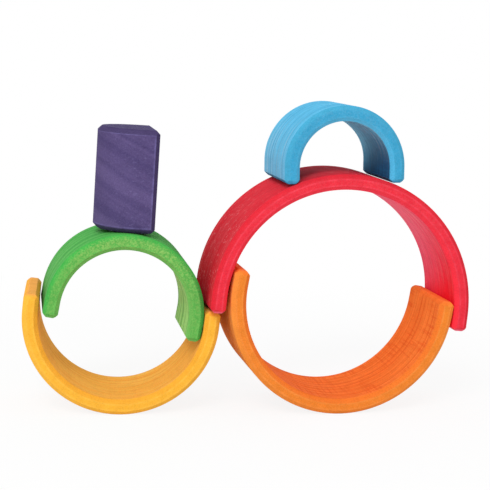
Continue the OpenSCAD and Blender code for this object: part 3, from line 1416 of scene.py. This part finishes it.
@dataclass(frozen=True)
class Studio:
    """The plain pale studio: a floor that keeps the shadow, an even sky and a soft lamp.

    Attributes:
        floor_side: Side of the floor, in metres.
        floor_grey: Grey of its paper.
        white_near: Share of white that the viewer sees in the floor close to the stack.
        near: Distance from the middle at which that share begins to grow, in metres.
        far: Distance at which the floor is white to the viewer, in metres.
        sky: Strength of the sky as a light.
        lamp: The lamp.
    """

    floor_side: float = 8.0
    floor_grey: float = 0.88
    white_near: float = 0.88
    near: float = 0.16
    far: float = 0.5
    sky: float = 0.72
    lamp: Lamp = KEY_LAMP

    def build(self) -> None:
        """Makes the floor, the sky and the lamp."""
        self._floor()
        self._sky()
        self.lamp.build()

    @staticmethod
    def _seen(kit: NodeKit) -> Socket:
        """Tells the rays that show the background to the viewer, directly, in gloss or through glass.


        Returns:
            One for such a ray, and zero for any other.
        """
        path = kit.add("ShaderNodeLightPath")
        seen = kit.math("MAXIMUM", path.outputs["Is Camera Ray"], path.outputs["Is Glossy Ray"])
        return kit.math("MAXIMUM", seen, path.outputs["Is Transmission Ray"])

    def _floor(self) -> None:
        """Makes a flat square floor, white to the viewer far away and keeping the shadow near the stack."""
        mesh = bpy.data.meshes.new("floor")
        corners = np.array([[-1, -1, 0], [1, -1, 0], [1, 1, 0], [-1, 1, 0]]) * self.floor_side / 2
        mesh.from_pydata(corners.tolist(), [], [[0, 1, 2, 3]])
        mesh.update()
        floor = add_object("floor", mesh)
        material = bpy.data.materials.new("floor_paper")
        kit = NodeKit.emptied(material)
        paper = kit.add("ShaderNodeBsdfDiffuse")
        paper.inputs["Color"].default_value = (self.floor_grey, self.floor_grey, self.floor_grey, 1.0)
        white = kit.add("ShaderNodeEmission")
        away = kit.add("ShaderNodeVectorMath", operation="LENGTH")
        kit.wire(kit.add("ShaderNodeTexCoord").outputs["Object"], away.inputs[0])
        white_part = kit.span(away.outputs["Value"], self.near, self.far, self.white_near, 1.0)
        share = kit.math("MULTIPLY", self._seen(kit), white_part)
        mixed = kit.feed(kit.add("ShaderNodeMixShader"), share, paper.outputs[0], white.outputs[0])
        kit.wire(mixed.outputs[0], kit.add("ShaderNodeOutputMaterial").inputs["Surface"])
        mesh.materials.append(material)

    def _sky(self) -> None:
        """Makes an even sky that is white to the viewer and lights the stack more softly."""
        world = bpy.data.worlds.new("studio_sky")
        kit = NodeKit.emptied(world)
        sky = kit.add("ShaderNodeBackground")
        sky.inputs["Color"].default_value = (1.0, 1.0, 1.0, 1.0)
        strength = kit.math("MULTIPLY_ADD", self._seen(kit), 1.0 - self.sky, self.sky)
        kit.wire(strength, sky.inputs["Strength"])
        kit.wire(sky.outputs[0], kit.add("ShaderNodeOutputWorld").inputs["Surface"])
        bpy.context.scene.world = world


RED_DYE_AND_LIGHT = DyeAndLight(
    slot="red",
    main=linear(226, 46, 62),
    outside=linear(226, 46, 60),
    # Painted light: the outer face towards the legs kept bright in its shade
    outside_low_painted_light=linear(222, 32, 46),
    # Painted light: pink inner face at the crown; painted shade: deep red at its low front
    inside=linear(255, 112, 148),
    inside_low_painted_shade=linear(244, 32, 48),
    # Painted light: pink ends, as if lit from below
    end=linear(250, 124, 148),
    # Painted shade on the outer bevel and painted light on the inner bevel, to even out their shading
    outer_bevel_dye_and_light=linear(216, 40, 54),
    inner_bevel_dye_and_light=linear(240, 54, 70),
    border=linear(236, 88, 108),
    deep=linear(190, 22, 36),
    pale=linear(244, 178, 180),
    grain_seed=1.0,
    growth=0.06,
    fibre=0.12,
    fleck=0.42,
    pale_outside=0.08,
    pale_inside=0.5,
    saw=0.1,
    speckle=0.05,
)
ORANGE_DYE_AND_LIGHT = DyeAndLight(
    slot="orange",
    main=linear(230, 128, 46),
    outside=linear(246, 156, 70),
    # Painted light: the outer face towards the tips, bright in the shaded gap beside the yellow tip
    outside_low_painted_light=linear(255, 186, 100),
    inside=linear(240, 124, 50),
    inside_low_painted_shade=linear(244, 136, 58),
    end=linear(244, 128, 58),
    outer_bevel_dye_and_light=linear(240, 142, 58),
    inner_bevel_dye_and_light=linear(230, 118, 44),
    border=linear(240, 152, 82),
    deep=linear(214, 78, 24),
    pale=linear(248, 170, 96),
    grain_seed=12.0,
    growth=0.45,
    saw=0.4,
    pale_inside=0.1,
)
YELLOW_DYE_AND_LIGHT = DyeAndLight(
    slot="yellow",
    main=linear(243, 176, 56),
    outside=linear(250, 188, 68),
    outside_low_painted_light=linear(240, 166, 44),
    # Painted light: the inner face lighter than the front
    inside=linear(255, 184, 80),
    inside_low_painted_shade=linear(255, 180, 76),
    end=linear(247, 168, 84),
    # Painted light: the outer bevel lighter than the front
    outer_bevel_dye_and_light=linear(248, 186, 68),
    inner_bevel_dye_and_light=linear(240, 166, 50),
    border=linear(248, 194, 90),
    deep=linear(244, 138, 50),
    pale=linear(252, 206, 110),
    grain_seed=23.0,
    growth=0.45,
    saw=0.15,
)
GREEN_DYE_AND_LIGHT = DyeAndLight(
    slot="green",
    main=linear(88, 168, 76),
    outside=linear(88, 180, 86),
    outside_low_painted_light=linear(96, 174, 96),
    # Painted light: the inner face much lighter than the front
    inside=linear(186, 232, 154),
    inside_low_painted_shade=linear(170, 226, 136),
    end=linear(130, 200, 112),
    outer_bevel_dye_and_light=linear(60, 170, 72),
    inner_bevel_dye_and_light=linear(98, 174, 82),
    border=linear(104, 186, 90),
    deep=linear(44, 140, 58),
    pale=linear(158, 198, 108),
    grain_seed=34.0,
    growth_gap=7 * MM,
    growth=0.5,
    saw=0.15,
    speckle=0.6,
    pale_inside=0.45,
)
BLUE_DYE_AND_LIGHT = DyeAndLight(
    slot="blue",
    main=linear(58, 154, 194),
    # Painted light: the outer face lighter than the front, most towards the legs
    outside=linear(94, 188, 228),
    outside_low_painted_light=linear(118, 198, 238),
    # Painted light: pale inner face at the crown; painted shade: dark navy at its low front, deep in the
    # tunnel
    inside=linear(136, 222, 252),
    inside_low_painted_shade=linear(34, 82, 122),
    end=linear(64, 158, 206),
    outer_bevel_dye_and_light=linear(64, 158, 194),
    # Painted light: the inner bevel lighter than the front
    inner_bevel_dye_and_light=linear(84, 184, 226),
    border=linear(88, 172, 206),
    deep=linear(50, 136, 186),
    pale=linear(206, 230, 240),
    grain_seed=45.0,
    growth=0.15,
    fibre=0.3,
    pale_outside=0.28,
    pale_inside=0.4,
    saw=0.2,
    speckle=0.06,
    worn=0.2,
)
PURPLE_DYE_AND_LIGHT = DyeAndLight(
    slot="purple",
    main=linear(88, 74, 118),
    outside=linear(92, 79, 122),
    outside_low_painted_light=linear(89, 76, 120),
    # Painted shade: the underside, facing right, and the ends and bevels darker than the curved face
    inside=linear(72, 62, 100),
    inside_low_painted_shade=linear(72, 62, 100),
    end=linear(66, 57, 92),
    outer_bevel_dye_and_light=linear(62, 53, 88),
    inner_bevel_dye_and_light=linear(70, 60, 97),
    border=linear(120, 112, 166),
    deep=linear(66, 56, 98),
    pale=linear(150, 140, 190),
    grain_seed=56.0,
    growth_way=(-0.45, 0.9, 0.05),
    growth_gap=9 * MM,
    growth_waver=0.5,
    growth_low=0.3,
    growth_high=0.7,
    growth=0.7,
    fibre=0.0,
    fleck=0.12,
    pale_outside=0.0,
    pale_inside=0.0,
    saw=0.0,
    curved_speckle=0.06,
    worn=0.5,
)


@dataclass(frozen=True)
class Stack:
    """Two rings that lean on each other, with lengths in metres and angles in degrees.

    Each lean is clockwise as the viewer sees it. The right ring's red arch stands over the middle until
    the whole stack is centred.

    Attributes:
        block: Sizes of the set.
        right_turn: Angle by which the front of the right ring faces to the right.
        orange_lean: Lean of the orange cradle.
        red_lean: Lean of the red arch over the orange cradle.
        blue_lean: Lean of the blue arch on the crown of the red arch.
        left_turn: Angle by which the front of the left ring faces to the right.
        left_advance: How far the left ring stands in front of the right one.
        yellow_lean: Lean of the yellow cradle.
        green_lean: Lean of the green arch in the yellow cradle.
        green_wedge: Share of the play in the yellow cradle that the twist of the green arch takes up.
        core_lean: Lean of the core on the crown of the green arch.
        rest_gap: Gap between two pieces where one rests on the other.
        sweep_step: Angle between the points that the stack's middle is taken from.
    """

    block: Block
    right_turn: float = 11.0
    orange_lean: float = 9.0
    red_lean: float = 5.0
    blue_lean: float = -1.0
    left_turn: float = 6.5
    left_advance: float = 14 * MM
    yellow_lean: float = 5.5
    green_lean: float = 10.0
    green_wedge: float = 0.85
    core_lean: float = 2.5
    rest_gap: float = 0.3 * MM
    sweep_step: float = 2.0

    def left_ring(self) -> tuple[Pose, Pose]:
        """The yellow cradle and the green arch in it, beside the red arch.

        The twist of the green arch takes up part of the play between its legs and the cradle: it is the
        angle of a face's corner, seen from the middle, less the angle at which that corner has come out
        to the reach. The lower corners of the green arch rest on the round inside of the cradle, and its
        right side nearly meets the left side of the red arch.

        Returns:
            The poses of the yellow and of the green arch.
        """
        size = self.block
        green = size.outer(Order.GREEN)
        cradle = size.inner(Order.YELLOW) - self.rest_gap
        reach = green + self.green_wedge * (cradle - green)
        corner = math.hypot(green, size.face_edge())
        twist = math.atan(size.face_edge() / green) - math.acos(reach / corner)
        turn = math.radians(self.left_turn) + twist
        rise = size.leg_edge() - math.sqrt(cradle**2 - reach**2)
        offset = rise * turned(self.left_turn, self.green_lean).rotation()[:, 2]

        lean, skew = math.radians(self.red_lean), math.radians(self.right_turn) - turn
        red_side = size.outer(Order.RED) * math.cos(lean) + size.leg_edge() * math.sin(lean)
        red_reach = red_side * math.cos(skew) + size.face_edge() * math.sin(abs(skew))
        spacing = green + self.rest_gap + red_reach
        ahead = offset[1] - self.left_advance
        left = -(spacing + ahead * math.sin(turn)) / math.cos(turn) - offset[0]
        centre = np.array([left, -self.left_advance, size.outer(Order.YELLOW)])
        yellow = Pose(centre, self.left_turn, HALF_TURN + self.yellow_lean)
        return yellow, Pose(centre + offset, math.degrees(turn), self.green_lean)

    def red_height(self, yellow: Pose) -> float:
        """Height of the red arch's centre.

        The red arch rests on the tips of the orange cradle, or higher where its left leg stands on the
        right tip of the yellow cradle.

        Args:
            yellow: Pose of the yellow cradle.

        Returns:
            The height.
        """
        size = self.block
        room, orange = size.inner(Order.RED) - self.rest_gap, size.outer(Order.ORANGE)
        seat = math.sqrt(room**2 - orange**2) - size.leg_edge()
        on_tips = orange + seat * math.cos(math.radians(HALF_TURN + self.orange_lean))
        leaning = turned(self.right_turn, self.red_lean)
        tip_normal = turned(self.left_turn, self.yellow_lean).rotation()[:, 2]
        foot_normal = leaning.rotation()[:, 2]
        tip = yellow.place(size.leg_end(Order.YELLOW))
        foot = leaning.place(size.leg_end(Order.RED))
        dip = ((foot - tip[0]) @ tip_normal).min()
        reach = ((tip - foot[0]) @ foot_normal).max()
        above_tip = (self.rest_gap - dip) / tip_normal[2]
        above_foot = (self.rest_gap + reach) / foot_normal[2]
        return max(on_tips, min(above_tip, above_foot))

    def orange_cradle(self, red: Pose) -> Pose:
        """The orange cradle, whose tips reach up inside the red arch.

        Its right tip meets the round part of the red arch's inner face, or the straight leg where the
        tip lies below the middle of the red arch.

        Args:
            red: Pose of the red arch.

        Returns:
            The pose of the orange arch.
        """
        size = self.block
        room, orange = size.inner(Order.RED) - self.rest_gap, size.outer(Order.ORANGE)
        roll, lean = HALF_TURN + self.orange_lean, math.radians(self.red_lean)
        tip = turned(0.0, roll).place(np.array([-orange, 0.0, -size.leg_edge()]))
        tip_rise = orange + tip[2] - red.centre[2]
        reach = math.sqrt(room**2 - tip_rise**2)
        if reach * math.sin(lean) + tip_rise * math.cos(lean) < 0:
            reach = (room + tip_rise * math.sin(lean)) / math.cos(lean)
        centre = turned(self.right_turn, 0.0).place(np.array([reach - tip[0], 0.0, orange]))
        return Pose(centre, self.right_turn, roll)

    def blue_arch(self, red: Pose) -> Pose:
        """The blue arch, whose legs stand astride the crown of the red arch.

        Args:
            red: Pose of the red arch.

        Returns:
            The pose of the blue arch.
        """
        size = self.block
        crown, inner = size.outer(Order.RED) + self.rest_gap, size.inner(Order.BLUE)
        on_end = size.leg + math.sqrt(crown**2 - (inner + size.bevel) ** 2)
        on_side = size.leg_edge() + math.sqrt(crown**2 - inner**2)
        up = turned(self.right_turn, self.blue_lean).rotation()[:, 2]
        return Pose(red.centre + max(on_end, on_side) * up, self.right_turn, self.blue_lean)

    def core(self, green: Pose) -> Pose:
        """The core on one flat end, with its centre of mass over the line where it meets the crown.

        Its balance is the moment of the half disc less that of the straight part below it, over the area
        of both.

        Args:
            green: Pose of the green arch.

        Returns:
            The pose of the core.
        """
        size = self.block
        radius = size.core_radius()
        disc_area, leg_area = math.pi * radius**2 / 2, 2 * radius * size.leg
        balance = (2 * radius**3 / 3 - leg_area * size.leg / 2) / (disc_area + leg_area)
        rise = size.outer(Order.GREEN) + self.rest_gap + size.depth / 2
        axes = turned(green.turn, self.core_lean).rotation()
        centre = green.centre + rise * axes[:, 2] + balance * axes[:, 0]
        return Pose(centre, green.turn, self.core_lean, Stance.ON_END)

    def pieces(self) -> list[Piece]:
        """Lists the pieces at their places, to six digits, with the middle of the stack over the origin.

        Returns:
            The pieces, the lowest of each ring first.
        """
        size = self.block
        yellow, green = self.left_ring()
        red = Pose(np.array([0.0, 0.0, self.red_height(yellow)]), self.right_turn, self.red_lean)
        orange = self.orange_cradle(red)
        wide = {Order.RED: red, Order.ORANGE: orange, Order.YELLOW: yellow, Order.GREEN: green}
        edges = [pose.place(size.outer_edges(order, self.sweep_step)) for order, pose in wide.items()]
        outline = np.concatenate(edges)
        middle = (outline.min(0) + outline.max(0)) / 2
        back = np.array([-six_digits(middle[0]), -six_digits(middle[1]), 0.0])
        return [
            Arch("orange_arch", ORANGE_DYE_AND_LIGHT, orange.moved(back), size, Order.ORANGE),
            Arch("red_arch", RED_DYE_AND_LIGHT, red.moved(back), size, Order.RED),
            Arch("blue_arch", BLUE_DYE_AND_LIGHT, self.blue_arch(red).moved(back), size, Order.BLUE),
            Arch("yellow_arch", YELLOW_DYE_AND_LIGHT, yellow.moved(back), size, Order.YELLOW),
            Arch("green_arch", GREEN_DYE_AND_LIGHT, green.moved(back), size, Order.GREEN),
            Core("purple_core", PURPLE_DYE_AND_LIGHT, self.core(green).moved(back), size),
        ]


def main() -> None:
    """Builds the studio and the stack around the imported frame."""
    logging.basicConfig(level=logging.INFO, format="%(name)s: %(message)s")
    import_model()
    bpy.context.scene.view_settings.view_transform = "Standard"
    Viewpoint().build()
    Studio().build()
    workshop = Workshop()
    for piece in Stack(Block()).pieces():
        made = piece.build(workshop)
        faces, off = len(made.data.polygons), piece.misfit(made) / MM
        LOG.info("%s: %d faces, box within %.2f mm of its node", made.name, faces, off)
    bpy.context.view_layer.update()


if __name__ == "__main__":
    main()
